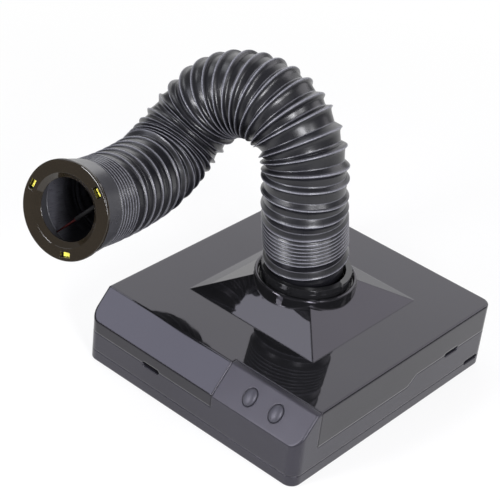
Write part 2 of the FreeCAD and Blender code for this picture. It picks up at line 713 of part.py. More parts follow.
def fan_rotor():
    hub = cylinder(HUB_R, HUB_LOW_Z, HUB_TOP_Z)
    hub = hub.cut(cylinder(HUB_R - HUB_WALL, HUB_LOW_Z - OVER, HUB_TOP_Z - HUB_WALL))
    tip = FAN_BORE_R - BLADE_TIP_CLEAR
    reach = ring(tip, HUB_R - HUB_WALL / 2, HUB_LOW_Z, HUB_TOP_Z)
    half = BLADE_CHORD / 2
    blades = []
    for index in range(BLADE_COUNT):
        plate = box(0.0, tip, -half, half, -BLADE_T / 2, BLADE_T / 2)
        plate = moved(plate, vec(0, 0, (HUB_LOW_Z + HUB_TOP_Z) / 2), BLADE_PITCH, X_AXIS)
        plate.rotate(vec(0, 0, 0), Z_AXIS, index * 360.0 / BLADE_COUNT)
        blades.append(plate.common(reach))
    return at_hopper(fused([hub] + blades))


def rotor_magnet():
    return at_hopper(ring(MAGNET_R, MAGNET_R - MAGNET_T, HUB_LOW_Z + HUB_LOW_GAP, HUB_TOP_Z - HUB_WALL))


def fan_screws():
    low = FAN_Z - FAN_SCREW_BITE + SCREW_TIP_CLEAR
    top = FAN_Z + FAN_FLANGE_T
    screws = []
    for x, y in fan_holes():
        shank = cylinder(FAN_SCREW_R, low, top, x, y)
        screws.append(shank.fuse(cylinder(FAN_SCREW_HEAD_R, top, top + FAN_SCREW_HEAD_H, x, y)))
    return screws


# Filter stack
def filter_square(half, z0, z1):
    return box(HOPPER_X - half, HOPPER_X + half, HOPPER_Y - half, HOPPER_Y + half, z0, z1)


def filter_shelf():
    half = FILTER_SIDE / 2 + FILTER_CLEAR + SHELF_RIM_T
    rim_top = SHELF_TOP_Z + SHELF_RIM_H
    plate = filter_square(half, FAN_TOP_Z, SHELF_TOP_Z)
    rim = filter_square(half, FAN_TOP_Z, rim_top)
    rim = rim.cut(filter_square(half - SHELF_RIM_T, FAN_TOP_Z - OVER, rim_top + OVER))
    pieces = [plate, rim]
    holes = [cylinder(FAN_BORE_R, FAN_TOP_Z - OVER, SHELF_TOP_Z + OVER, HOPPER_X, HOPPER_Y)]
    for x, y in shelf_posts():
        inner_x = HOPPER_X + math.copysign(half - POST_R, x - HOPPER_X)
        inner_y = HOPPER_Y + math.copysign(half - POST_R, y - HOPPER_Y)
        pieces.append(cylinder(POST_R, FAN_TOP_Z, SHELF_TOP_Z, x, y))
        pieces.append(box(min(x, inner_x), max(x, inner_x), min(y, inner_y), max(y, inner_y),
                          FAN_TOP_Z, SHELF_TOP_Z))
        holes.append(cylinder(POST_SCREW_R + SCREW_HOLE_CLEAR, FAN_TOP_Z - OVER, SHELF_TOP_Z + OVER, x, y))
    return fused(pieces).cut(holes)


def shelf_screws():
    low = FAN_TOP_Z - POST_SCREW_BITE + SCREW_TIP_CLEAR
    screws = []
    for x, y in shelf_posts():
        shank = cylinder(POST_SCREW_R, low, SHELF_TOP_Z, x, y)
        head = cylinder(POST_SCREW_HEAD_R, SHELF_TOP_Z, SHELF_TOP_Z + POST_SCREW_HEAD_H, x, y)
        screws.append(shank.fuse(head))
    return screws


def filter_frame():
    half = FILTER_SIDE / 2
    wall = filter_square(half, SHELF_TOP_Z, FILTER_TOP_Z)
    wall = wall.cut(filter_square(half - FILTER_WALL, SHELF_TOP_Z - OVER, FILTER_TOP_Z + OVER))
    lip_low = SHELF_TOP_Z + CARBON_T
    lip_top = lip_low + CARBON_LIP_T
    lip = filter_square(half - FILTER_WALL / 2, lip_low, lip_top)
    lip = lip.cut(filter_square(half - FILTER_WALL - CARBON_LIP, lip_low - OVER, lip_top + OVER))
    return wall.fuse(lip)


def carbon_pad():
    half = FILTER_SIDE / 2 - FILTER_WALL - PLEAT_FIT
    return filter_square(half, SHELF_TOP_Z, SHELF_TOP_Z + CARBON_T)


def hepa_media():
    """A pleated sheet: one zigzag outline drawn across the frame."""
    half = FILTER_SIDE / 2 - FILTER_WALL - PLEAT_FIT
    low = SHELF_TOP_Z + CARBON_T + CARBON_LIP_T
    high = FILTER_TOP_Z - PLEAT_T
    step = 2 * half / (2 * PLEATS)
    lower = []
    for index in range(2 * PLEATS + 1):
        lower.append((HOPPER_Y - half + index * step, low if index % 2 == 0 else high - PLEAT_T))
    upper = [(y, z + PLEAT_T * 2) for y, z in reversed(lower)]
    return prism_x(lower + upper, HOPPER_X - half, HOPPER_X + half)


def filter_gasket():
    half = FILTER_SIDE / 2
    pad = filter_square(half, FILTER_TOP_Z, ROOF_IN_Z)
    return pad.cut(filter_square(half - FILTER_WALL, FILTER_TOP_Z - OVER, ROOF_IN_Z + OVER))


# Rear grille and power inlet
def grille_slot():
    """The groove in the rim of the tray that takes the foot of the grille."""
    half = GRILLE_W / 2 + GRILLE_GAP
    return box(-half, half, BACK_Y - LIP_IN - OVER, BACK_Y + OVER,
               GRILLE_LOW_Z, TRAY_SEAM_Z + LIP_H + OVER)


def rear_grille():
    half = GRILLE_W / 2
    plate = box(-half, half, BACK_Y - CASE_WALL, BACK_Y, GRILLE_LOW_Z, GRILLE_TOP_Z)
    height = GRILLE_TOP_Z - GRILLE_LOW_Z - 2 * LOUVRE_BORDER
    slot = stadium(height, LOUVRE_W, 4 * CASE_WALL)
    slot.rotate(vec(0, 0, 0), Y_AXIS, 90)
    first = -half + GRILLE_RAIL_W
    last = INLET_X - INLET_FLANGE_R - LOUVRE_W
    pitch = (last - first) / LOUVRES
    slots = [moved(slot, vec(first + pitch * (i + 0.5), BACK_Y, INLET_Z)) for i in range(LOUVRES)]
    start = vec(INLET_X, BACK_Y - 2 * CASE_WALL, INLET_Z)
    hole = Part.makeCylinder(INLET_R + INLET_FIT, 4 * CASE_WALL, start, Y_AXIS)
    return plate.cut(slots + [hole])


def power_inlet():
    """A round barrel socket: its flange seats outside the grille and its pin stands in the bore."""
    back = vec(INLET_X, BACK_Y - CASE_WALL - INLET_DEPTH, INLET_Z)
    floor = back + vec(0, INLET_BACK_T, 0)
    barrel = Part.makeCylinder(INLET_R, INLET_DEPTH + CASE_WALL, back, Y_AXIS)
    flange = Part.makeCylinder(INLET_FLANGE_R, INLET_FLANGE_T, vec(INLET_X, BACK_Y, INLET_Z), Y_AXIS)
    bore = Part.makeCylinder(INLET_BORE_R, 2 * INLET_DEPTH, floor, Y_AXIS)
    pin = Part.makeCylinder(INLET_PIN_R, INLET_DEPTH, floor - vec(0, BITE, 0), Y_AXIS)
    return barrel.fuse(flange).cut(bore).fuse(pin)


# Coupler in the collar
def hose_coupler():
    flange = ring(FLANGE_R, COUPLER_BORE_R, SEAT_Z, SEAT_Z + COUPLER_FLANGE_T)
    neck = ring(NECK_R, COUPLER_BORE_R, SEAT_Z, COUPLER_TOP_Z)
    spigot = ring(SPIGOT_R, COUPLER_BORE_R, SPIGOT_Z, SEAT_Z + OVER)
    rib = box(NECK_R - OVER, NECK_R + RIB_PROUD, -RIB_W / 2, RIB_W / 2, SEAT_Z + BITE, COUPLER_TOP_Z - BITE)
    turns = [index * 360.0 / COUPLER_RIBS for index in range(COUPLER_RIBS)]
    body = fused([flange, neck, spigot] + [moved(rib, vec(0, 0, 0), turn) for turn in turns])
    groove = ring(SPIGOT_R + OVER, SPIGOT_R - GROOVE_DEPTH, RETAINER_TOP_Z - RETAINER_T, RETAINER_TOP_Z)
    return at_hopper(body.cut(groove))


def coupler_retainer():
    """A split snap ring in the spigot's groove, under the collar's ledge."""
    low = RETAINER_TOP_Z - RETAINER_T
    snap = ring(RETAINER_R, SPIGOT_R - GROOVE_DEPTH, low, RETAINER_TOP_Z)
    half = RETAINER_SPLIT / 2
    split = box(0.0, RETAINER_R + OVER, -half, half, low - OVER, RETAINER_TOP_Z + OVER)
    return at_hopper(snap.cut(split))


def coupler_seal():
    return at_hopper(ring(FLANGE_R, LEDGE_R, LEDGE_TOP_Z, SEAT_Z))


# Hose route: a chain of straight runs and arcs, each turned about the run before it
def turned(vector, axis, degrees):
    return FreeCAD.Rotation(axis, degrees).multVec(vector)


def route_frame(station):
    """Centre, direction and bend axis of the hose at a length along its route."""
    lean_axis = turned(vec(0, -1, 0), Z_AXIS, HOSE_LEAN_TURN)
    along = turned(Z_AXIS, lean_axis, HOSE_LEAN)
    inward = turned(vec(-1, 0, 0), lean_axis, HOSE_LEAN)
    centre = vec(HOPPER_X, HOPPER_Y, ROUTE_Z)
    left = station
    for length, bend, roll in HOSE_ROUTE:
        inward = turned(inward, along, roll)
        axis = along.cross(inward)
        run = min(left, length)
        if bend:
            radius = length / math.radians(bend)
            angle = bend * run / length
            pivot = centre + inward * radius
            centre = pivot + turned(centre - pivot, axis, angle)
            along = turned(along, axis, angle)
            inward = turned(inward, axis, angle)
        else:
            centre = centre + along * run
        left -= run
        if left <= 0:
            break
    return centre + along * left, along, along.cross(inward)


def hose_circle(station, radius):
    centre, along, _ = route_frame(station)
    return Part.Wire(Part.Circle(centre, along, radius).toShape())


def hose_stations():
    """Where each hose section starts and ends along the route."""
    edges = [HOSE_START]
    for _, folds, _ in HOSE_SECTIONS:
        edges.append(edges[-1] + sum(folds))
    return edges


def bellows(start, folds, depth):
    """A thin bellows tube: each fold steps out to its crest and tapers back to its root."""
    root = HOSE_CREST_R - depth
    places = [(start + HOSE_GAP / 2, root)]
    if start == HOSE_START:
        places = [(start - SLEEVE_L, SLEEVE_R), (start - SLEEVE_FLARE, SLEEVE_R)] + places
    end = start
    for length in folds:
        places.append((end + CREST_SHARE * length, HOSE_CREST_R))
        end += length
        places.append((end, root))
    places[-1] = (end - HOSE_GAP / 2, root)
    outside = Part.makeLoft([hose_circle(s, r) for s, r in places], True, True)
    inside = Part.makeLoft([hose_circle(s, r - HOSE_WALL) for s, r in places], True, True)
    return outside.cut(inside)


# Nozzle, drawn along +Z from the end of the hose and then set on the route
HOSE_END = hose_stations()[-1]


def at_nozzle(shape):
    """Set a shape on the nozzle: z = 0 goes to the hose's end, +Z outwards, +X to its bend axis."""
    centre, along, axis = route_frame(HOSE_END)
    side = along.cross(axis)
    turn = FreeCAD.Rotation(axis, side, along, "ZXY")
    copy = shape.copy()
    copy.Placement = FreeCAD.Placement(centre, turn).multiply(copy.Placement)
    return copy


def collar_radius(z):
    """Outer radius of the flaring collar at a height above the hose's end."""
    return NOZZLE_BACK_R + NOZZLE_FLARE * z / COLLAR_END_Z


def collar_inside(z):
    return collar_radius(z) - NOZZLE_WALL


def nozzle_collar():
    low = HOSE_GAP / 2
    height = COLLAR_END_Z - low
    shell = Part.makeCone(collar_radius(low), NOZZLE_FRONT_R, height, vec(0, 0, low))
    bore = Part.makeCone(collar_inside(low), NOZZLE_FRONT_R - NOZZLE_WALL, height, vec(0, 0, low))
    return at_nozzle(shell.cut(bore))


def led_angles():
    return [LED_START + index * 360.0 / LED_COUNT for index in range(LED_COUNT)]


def nozzle_ring():
    """A rim on the collar's end with a plug inside the collar, a funnel mouth and light windows."""
    face = NOZZLE_LENGTH
    back = face - RING_T
    rim = cylinder(RING_R, COLLAR_END_Z, face)
    rim = rim.makeFillet(RING_EDGE_R, [e for e in rim.Edges if e.BoundBox.ZMin > face - BITE])
    plug = cylinder(collar_inside(back) - NOZZLE_FIT, back, COLLAR_END_Z + BITE)
    funnel = Part.makeCone(NOZZLE_BORE_R, FUNNEL_R, FUNNEL_L, vec(0, 0, face - FUNNEL_L))
    wide, tall = LED_WINDOW
    window = box(LED_CIRCLE_R - tall / 2, LED_CIRCLE_R + tall / 2, -wide / 2, wide / 2,
                 back - OVER, face + OVER)
    cuts = [funnel, cylinder(NOZZLE_BORE_R, back - OVER, face)]
    cuts += [moved(window, vec(0, 0, 0), angle) for angle in led_angles()]
    return at_nozzle(fused([rim, plug]).cut(cuts))


def led_board():
    high = NOZZLE_LENGTH - RING_T
    low = high - LED_BOARD_T
    return at_nozzle(ring(collar_inside(low) - NOZZLE_FIT, NOZZLE_BORE_R + LED_BOARD_INSET, low, high))


def leds():
    wide, tall, thick = LED_SIZE
    low = NOZZLE_LENGTH - RING_T
    chip = box(LED_CIRCLE_R - tall / 2, LED_CIRCLE_R + tall / 2, -wide / 2, wide / 2, low, low + thick)
    return [at_nozzle(moved(chip, vec(0, 0, 0), angle)) for angle in led_angles()]


def around_nozzle(radius, angle, z):
    turn = math.radians(angle)
    return vec(radius * math.cos(turn), radius * math.sin(turn), z)


def led_lead():
    """A sleeve back from the board and slanting across the bore, and the wire that comes out of it."""
    high = NOZZLE_LENGTH - RING_T - LED_BOARD_T
    out = NOZZLE_BORE_R + LED_BOARD_INSET + LEAD_SLEEVE_R + NOZZLE_FIT
    bend = around_nozzle(out, LEAD_ANGLE, high - LEAD_DROP)
    far = collar_inside(LEAD_END_Z) - LEAD_WIRE_R - LEAD_CLEAR
    slant = around_nozzle(far, LEAD_END_ANGLE, LEAD_END_Z) - bend
    sleeve_end = bend + slant * LEAD_SLEEVE_SHARE
    sleeve = Part.makeCylinder(LEAD_SLEEVE_R, LEAD_DROP, bend, Z_AXIS)
    sleeve = sleeve.fuse([Part.makeCylinder(LEAD_SLEEVE_R, slant.Length * LEAD_SLEEVE_SHARE, bend, slant),
                          Part.makeSphere(LEAD_SLEEVE_R, bend)])
    wire = Part.makeCylinder(LEAD_WIRE_R, slant.Length * (1 - LEAD_SLEEVE_SHARE), sleeve_end, slant)
    return [at_nozzle(sleeve), at_nozzle(wire)]


def build():
    os.makedirs("parts", exist_ok=True)
    save("cover", cover())
    save("lower_case", lower_case())
    save_group("rubber_feet", feet())
    save_group("case_screws", case_screws())
    save("main_housing", main_housing())
    save("fan_button", slope_place(button(), BUTTON_X[0], BUTTON_ALONG, 0.0))
    save("light_button", slope_place(button(), BUTTON_X[1], BUTTON_ALONG, 0.0))
    save("control_board", control_board())
    save_group("tact_switches", tact_switches())
    save_group("board_screws", board_screws())
    save("fan_frame", fan_frame())
    save("fan_stator", fan_stator())
    save_group("fan_bearings", fan_bearings())
    save("fan_shaft", fan_shaft())
    save("fan_rotor", fan_rotor())
    save("rotor_magnet", rotor_magnet())
    save_group("fan_screws", fan_screws())
    save("filter_shelf", filter_shelf())
    save_group("shelf_screws", shelf_screws())
    save("filter_frame", filter_frame())
    save("carbon_pad", carbon_pad())
    save("hepa_media", hepa_media())
    save("filter_gasket", filter_gasket())
    save("rear_grille", rear_grille())
    save("power_inlet", power_inlet())
    save("hose_coupler", hose_coupler())
    save("coupler_retainer", coupler_retainer())
    save("coupler_seal", coupler_seal())
    for (name, folds, depth), start in zip(HOSE_SECTIONS, hose_stations()):
        save(name, bellows(start, folds, depth))
    save("nozzle_collar", nozzle_collar())
    save("nozzle_ring", nozzle_ring())
    save("led_board", led_board())
    save_group("leds", leds())
    save_group("led_lead", led_lead())


build()
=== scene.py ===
import math
from collections import namedtuple

import bpy
from mathutils import Matrix, Quaternion, Vector


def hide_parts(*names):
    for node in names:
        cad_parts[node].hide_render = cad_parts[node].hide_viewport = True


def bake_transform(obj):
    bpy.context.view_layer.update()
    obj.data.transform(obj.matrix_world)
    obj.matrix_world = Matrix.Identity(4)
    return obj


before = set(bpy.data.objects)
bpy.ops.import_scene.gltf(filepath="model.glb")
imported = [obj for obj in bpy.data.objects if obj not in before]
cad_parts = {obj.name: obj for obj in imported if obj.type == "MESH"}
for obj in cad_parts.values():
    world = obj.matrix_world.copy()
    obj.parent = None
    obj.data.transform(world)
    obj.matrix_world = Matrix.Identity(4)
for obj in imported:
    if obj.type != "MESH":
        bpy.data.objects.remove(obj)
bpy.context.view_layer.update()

MM = 0.001
scene = bpy.context.scene
scene.view_settings.view_transform = "Standard"


def way_to(azimuth, elevation):
    """A direction from angles in degrees: azimuth 0 is the front, and it grows towards the right side."""
    turn = math.radians(azimuth)
    rise = math.radians(elevation)
    level = math.cos(rise)
    return Vector((math.sin(turn) * level, -math.cos(turn) * level, math.sin(rise)))


# Camera at the photograph's viewpoint: place in metres, angles in degrees, lens and sensor in millimetres
CAMERA_PLACE = Vector((0.679546, -0.933720, 0.845494))
CAMERA_AZIMUTH = 38.271
CAMERA_ELEVATION = 32.485
CAMERA_ROLL = 6.723
CAMERA_LENS = 113.76
CAMERA_SENSOR = 36.0


def make_camera():
    back = way_to(CAMERA_AZIMUTH, CAMERA_ELEVATION)
    right = Vector((0.0, 0.0, 1.0)).cross(back).normalized()
    up = back.cross(right)
    roll = math.radians(CAMERA_ROLL)
    across = right * math.cos(roll) + up * math.sin(roll)
    upward = up * math.cos(roll) - right * math.sin(roll)
    turn = Matrix((across, upward, back)).transposed().to_4x4()
    data = bpy.data.cameras.new("photo_camera")
    data.lens = CAMERA_LENS
    data.sensor_width = CAMERA_SENSOR
    camera = bpy.data.objects.new("photo_camera", data)
    scene.collection.objects.link(camera)
    camera.matrix_world = Matrix.Translation(CAMERA_PLACE) @ turn
    scene.camera = camera


make_camera()


# Hose route in millimetres and degrees, as in the part: each run has a length, a bend and a turn of its plane
HOSE_END = 420.40
ROUTE_START = Vector((0.0, 10.0, 92.0))
HOSE_LEAN = 8.84
HOSE_LEAN_TURN = 67.5
HOSE_ROUTE = (
    (59.7, 0.0, 0.0),
    (39.2, 17.9, -60.6),
    (138.0, 134.5, 70.9),
    (43.2, 50.6, 62.2),
    (50.4, 41.5, 31.6),
    (89.9, 11.63, 30.4),
)


def turned(vector, axis, degrees):
    return Quaternion(axis, math.radians(degrees)) @ vector


def route_frame(station):
    """Centre of the hose, its direction, and the inside of its bend."""
    lean = turned(Vector((0, -1, 0)), Vector((0, 0, 1)), HOSE_LEAN_TURN)
    along = turned(Vector((0, 0, 1)), lean, HOSE_LEAN)
    inward = turned(Vector((-1, 0, 0)), lean, HOSE_LEAN)
    centre = ROUTE_START.copy()
    left = station
    for length, bend, roll in HOSE_ROUTE:
        inward = turned(inward, along, roll)
        axis = along.cross(inward)
        run = min(left, length)
        if bend:
            radius = length / math.radians(bend)
            turn = bend * run / length
            pivot = centre + inward * radius
            centre = pivot + turned(centre - pivot, axis, turn)
            along = turned(along, axis, turn)
            inward = turned(inward, axis, turn)
        else:
            centre = centre + along * run
        left -= run
        if left <= 0.0:
            break
    return centre + along * max(left, 0.0), along, inward


NOZZLE_PLACE, NOZZLE_WAY, NOZZLE_INWARD = route_frame(HOSE_END)


# Material building blocks: the span of a noise that is used, and noise scales per metre
NOISE_SPAN = (0.3, 0.7)
CLOUD_SPAN = (0.35, 0.65)
CLOUD_SCALE = 9.0
SMUDGE_SCALE = 46.0
WAVE_SCALE = 14.0
PLASTIC_IOR = 1.5
EDGE_SAMPLES = 8


class Look:
    """A node material that is put together step by step."""

    def __init__(self, name):
        self.material = bpy.data.materials.new(name)
        self.material.use_nodes = True
        self.tree = self.material.node_tree
        self.shader = self.tree.nodes["Principled BSDF"]
        self.coords = self.tree.nodes.new("ShaderNodeTexCoord")
        self.roughness = None

    def node(self, kind, **inputs):
        made = self.tree.nodes.new(kind)
        for key, value in inputs.items():
            self.feed(made.inputs[key.replace("_", " ")], value)
        return made

    def feed(self, socket, value):
        if isinstance(value, bpy.types.NodeSocket):
            self.tree.links.new(value, socket)
        else:
            socket.default_value = value

    def set(self, **inputs):
        for key, value in inputs.items():
            self.feed(self.shader.inputs[key.replace("_", " ")], value)

    def noise(self, scale, detail=3.0, rough=0.5, space="Object", stretch=(1.0, 1.0, 1.0)):
        place = self.node("ShaderNodeMapping", Vector=self.coords.outputs[space], Scale=stretch)
        made = self.node(
            "ShaderNodeTexNoise", Vector=place.outputs["Vector"], Scale=scale, Detail=detail, Roughness=rough
        )
        return made.outputs["Fac"]

    def smudge(self):
        return self.noise(SMUDGE_SCALE, 6.0, 0.65)

    def between(self, factor, low, high, start=0.0, end=1.0):
        """A number that goes from low to high as factor goes from start to end."""
        made = self.node(
            "ShaderNodeMapRange", Value=factor, From_Min=start, From_Max=end, To_Min=low, To_Max=high
        )
        return made.outputs["Result"]

    def vary(self, noise, low, high):
        """A number that goes from low to high with a noise."""
        return self.between(noise, low, high, *NOISE_SPAN)

    def tones(self, noise, dark, light, span=NOISE_SPAN):
        """A colour that goes from dark to light with a noise."""
        ramp = self.node("ShaderNodeValToRGB", Fac=noise)
        for element, place, colour in zip(ramp.color_ramp.elements, span, (dark, light)):
            element.position = place
            element.color = (*colour, 1.0)
        return ramp.outputs["Color"]

    def mix(self, factor, one, two):
        made = self.tree.nodes.new("ShaderNodeMix")
        made.data_type = "RGBA"
        for name, value in (("Factor_Float", factor), ("A_Color", one), ("B_Color", two)):
            socket = next(s for s in made.inputs if s.identifier == name)
            self.feed(socket, (*value, 1.0) if isinstance(value, tuple) else value)
        return next(s for s in made.outputs if s.identifier == "Result_Color")

    def calc(self, operation, *values):
        made = self.tree.nodes.new("ShaderNodeMath")
        made.operation = operation
        for socket, value in zip(made.inputs, values):
            self.feed(socket, value)
        return made.outputs[0]

    def share_along(self, space, way):
        """How far a place or a normal goes along a direction."""
        made = self.tree.nodes.new("ShaderNodeVectorMath")
        made.operation = "DOT_PRODUCT"
        self.feed(made.inputs[0], self.coords.outputs[space])
        made.inputs[1].default_value = way
        return made.outputs["Value"]

    def bump(self, height, depth, normal=None):
        made = self.node("ShaderNodeBump", Height=height, Distance=depth, Strength=1.0)
        if normal is not None:
            self.feed(made.inputs["Normal"], normal)
        return made.outputs["Normal"]

    def soft_edge(self, radius):
        made = self.node("ShaderNodeBevel", Radius=radius)
        made.samples = EDGE_SAMPLES
        return made.outputs["Normal"]


def plastic(name, dark, light, rough, grain, grain_depth, edge=0.0, wave=0.0):
    """A moulded plastic: slow tone changes, smudges in the gloss, a fine grain; lengths in millimetres."""
    look = Look(name)
    look.set(Base_Color=look.tones(look.noise(CLOUD_SCALE, 4.0), dark, light, CLOUD_SPAN))
    look.roughness = look.vary(look.smudge(), *rough)
    look.set(Roughness=look.roughness)
    normal = look.soft_edge(edge * MM) if edge else None
    if wave:
        normal = look.bump(look.noise(WAVE_SCALE, 1.0), wave * MM, normal)
    look.set(Normal=look.bump(look.noise(grain, 2.0), grain_depth * MM, normal), IOR=PLASTIC_IOR)
    return look


def metal(name, dark, light, rough):
    look = plastic(name, dark, light, rough, grain=1800.0, grain_depth=0.01)
    look.set(Metallic=1.0)
    return look


# The hose's streaks and clouds, as counts round it and along it
STREAKS = (330.0, 34.0, 1.0)
CLOUDS = (9.0, 60.0, 1.0)
# Lighter tone: painted highlight on lips (partly wear) and creases, painted light on the inner wall inside
# the bore
SHEEN_AND_WEAR_TONE = (0.225, 0.225, 0.258)


def hose_look():
    """A bellows skin: fine streaks along it, slow clouds, a lighter tone on its lips (painted highlight,
    partly wear) and creases (painted highlight), and painted light on its inner wall.
    """
    look = Look("hose_bellows")
    streaks = look.noise(1.0, 4.0, 0.6, "UV", STREAKS)
    cloud = look.noise(1.0, 3.0, 0.5, "UV", CLOUDS)
    body = look.tones(cloud, (0.0062, 0.0062, 0.0080), (0.0108, 0.0108, 0.0136))
    line = look.node("ShaderNodeAttribute")
    line.attribute_name = "fold_line"
    sheen_and_wear = look.calc("MULTIPLY", line.outputs["Fac"], look.vary(streaks, 0.45, 0.95))
    look.set(Base_Color=look.mix(sheen_and_wear, body, SHEEN_AND_WEAR_TONE), Roughness=look.vary(streaks, 0.26, 0.36))
    look.set(Normal=look.bump(streaks, 0.012 * MM), IOR=PLASTIC_IOR)
    return look


# The housing is rougher where its normal points up by more than a share
SLOPE_UPWARD = (0.25, 0.55)
SLOPE_ROUGH = (0.34, 0.44)


def housing_look():
    """The lower mouldings: a fine satin grain on the control slope, smoother on the walls."""
    look = plastic(
        "case_satin", (0.0145, 0.0141, 0.0182), (0.0193, 0.0188, 0.0242), (0.16, 0.24),
        grain=2600.0, grain_depth=0.03, edge=1.8,
    )
    facing = look.node("ShaderNodeSeparateXYZ", Vector=look.coords.outputs["Normal"])
    upward = look.between(facing.outputs["Z"], 0.0, 1.0, *SLOPE_UPWARD)
    wall = look.roughness
    spread = look.calc("SUBTRACT", look.vary(look.smudge(), *SLOPE_ROUGH), wall)
    look.set(Roughness=look.calc("MULTIPLY_ADD", spread, upward, wall))
    return look


# The lead crosses the nozzle on a slant, and its sleeve covers the first part of it
LEAD_OUT = 1.0
LEAD_FROM_R = 29.8
LEAD_FROM_ANGLE = 190.4
LEAD_TO_R = 35.0
LEAD_TO_ANGLE = 39.4
SLEEVE_SHARE = 0.55
SLEEVE_BLUR = 0.2 * MM


def nozzle_point(radius, angle, out):
    """A place in the nozzle: distance from its middle, angle round it, and distance past the hose."""
    across = NOZZLE_WAY.cross(NOZZLE_INWARD)
    upward = NOZZLE_WAY.cross(across)
    turn = math.radians(angle)
    return NOZZLE_PLACE + (across * math.cos(turn) + upward * math.sin(turn)) * radius + NOZZLE_WAY * out


def lead_look():
    """A dark sleeve, and past its end a thin red wire."""
    start = nozzle_point(LEAD_FROM_R, LEAD_FROM_ANGLE, LEAD_OUT)
    end = nozzle_point(LEAD_TO_R, LEAD_TO_ANGLE, LEAD_OUT)
    way = (end - start).normalized()
    split = start.lerp(end, SLEEVE_SHARE).dot(way) * MM
    look = Look("lead_cover")
    grain = look.noise(1500.0, 2.0)
    past = look.between(look.share_along("Object", way), 0.0, 1.0, split - SLEEVE_BLUR, split + SLEEVE_BLUR)
    sleeve = look.tones(grain, (0.0022, 0.0022, 0.0024), (0.0040, 0.0040, 0.0043))
    wire = look.tones(grain, (0.016, 0.0018, 0.0018), (0.028, 0.0024, 0.0024))
    look.set(Base_Color=look.mix(past, sleeve, wire), Roughness=look.between(grain, 0.40, 0.60))
    look.set(Normal=look.bump(grain, 0.02 * MM), Specular_IOR_Level=0.2)
    return look


# The part of a light that faces out of the nozzle is its yellow window
LED_PACKAGE = (0.86, 0.86, 0.84)
LED_FRONT = (0.5, 0.7)


def led_look():
    """A yellow phosphor window in a white package."""
    look = Look("led_phosphor")
    grains = look.noise(1500.0, 3.0)
    yellow = look.tones(grains, (0.95, 0.80, 0.05), (1.0, 0.93, 0.14))
    front = look.between(look.share_along("Normal", NOZZLE_WAY), 0.0, 1.0, *LED_FRONT)
    look.set(Base_Color=look.mix(front, LED_PACKAGE, yellow), Roughness=look.between(grains, 0.35, 0.55))
    look.set(Normal=look.bump(grains, 0.03 * MM))
    return look


# Each look: dark and light colour, least and most roughness, grain per metre, and lengths in millimetres
gloss = plastic(
    "case_gloss", (0.0065, 0.0065, 0.0072), (0.0095, 0.0095, 0.0105), (0.025, 0.06),
    grain=900.0, grain_depth=0.002, edge=1.9, wave=0.008,
)
satin = housing_look()
dome = plastic(
    "button_dome", (0.031, 0.031, 0.038), (0.041, 0.041, 0.050), (0.40, 0.50),
    grain=2600.0, grain_depth=0.02,
)
coupling = plastic(
    "coupler_gloss", (0.009, 0.009, 0.0098), (0.013, 0.013, 0.0142), (0.06, 0.12),
    grain=1200.0, grain_depth=0.004, edge=0.5,
)
mouth = plastic(
    "nozzle_gloss", (0.0135, 0.0102, 0.0062), (0.0185, 0.0140, 0.0088), (0.04, 0.08),
    grain=1200.0, grain_depth=0.002, edge=0.6,
)
cone = plastic(
    "nozzle_satin", (0.036, 0.036, 0.0400), (0.046, 0.046, 0.0510), (0.26, 0.34),
    grain=1800.0, grain_depth=0.003, edge=0.5,
)
rubber = plastic(
    "foot_rubber", (0.012, 0.012, 0.012), (0.020, 0.020, 0.020), (0.65, 0.85),
    grain=1500.0, grain_depth=0.08,
)
board = plastic(
    "circuit_board", (0.004, 0.045, 0.014), (0.010, 0.075, 0.026), (0.25, 0.40),
    grain=700.0, grain_depth=0.03,
)
switch = plastic(
    "switch_plastic", (0.05, 0.05, 0.05), (0.08, 0.08, 0.08), (0.35, 0.5),
    grain=1500.0, grain_depth=0.02,
)
fan = plastic(
    "fan_plastic", (0.018, 0.018, 0.018), (0.026, 0.026, 0.027), (0.30, 0.45),
    grain=1600.0, grain_depth=0.02,
)
ferrite = plastic(
    "ferrite", (0.03, 0.03, 0.03), (0.05, 0.048, 0.046), (0.55, 0.75),
    grain=2400.0, grain_depth=0.05,
)
card = plastic(
    "filter_card", (0.50, 0.42, 0.30), (0.62, 0.53, 0.39), (0.75, 0.90),
    grain=900.0, grain_depth=0.10,
)
paper = plastic(
    "filter_paper", (0.72, 0.71, 0.67), (0.84, 0.83, 0.79), (0.80, 0.95),
    grain=1400.0, grain_depth=0.15,
)
carbon = plastic(
    "carbon_foam", (0.010, 0.010, 0.010), (0.045, 0.045, 0.047), (0.80, 0.98),
    grain=420.0, grain_depth=1.2,
)
steel = metal("zinc_steel", (0.52, 0.52, 0.53), (0.66, 0.66, 0.67), (0.25, 0.38))
copper = metal("copper_wire", (0.55, 0.24, 0.12), (0.72, 0.36, 0.19), (0.22, 0.40))
hose = hose_look()
lead = lead_look()
led = led_look()

# The case's plastic has a faint violet in its gloss
VIOLET_GLOSS = (0.92, 0.88, 1.0, 1.0)
for look in (gloss, satin, dome):
    look.set(Specular_Tint=VIOLET_GLOSS)

NODE_LOOKS = {
    gloss: ("cover",),
    satin: ("main_housing", "lower_case", "rear_grille", "power_inlet"),
    dome: ("fan_button", "light_button"),
    rubber: ("rubber_feet", "coupler_seal", "filter_gasket"),
    steel: ("case_screws", "board_screws", "fan_screws", "shelf_screws", "fan_shaft", "fan_bearings"),
    board: ("control_board", "led_board"),
    switch: ("tact_switches",),
    fan: ("fan_frame", "fan_rotor", "filter_shelf"),
    copper: ("fan_stator",),
    ferrite: ("rotor_magnet",),
    card: ("filter_frame",),
    carbon: ("carbon_pad",),
    paper: ("hepa_media",),
    coupling: ("hose_coupler", "coupler_retainer"),
    cone: ("nozzle_collar",),
    mouth: ("nozzle_ring",),
    led: ("leds",),
    lead: ("led_lead",),
}

for look, names in NODE_LOOKS.items():
    for name in names:
        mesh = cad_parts[name].data
        mesh.materials.clear()
        mesh.materials.append(look.material)


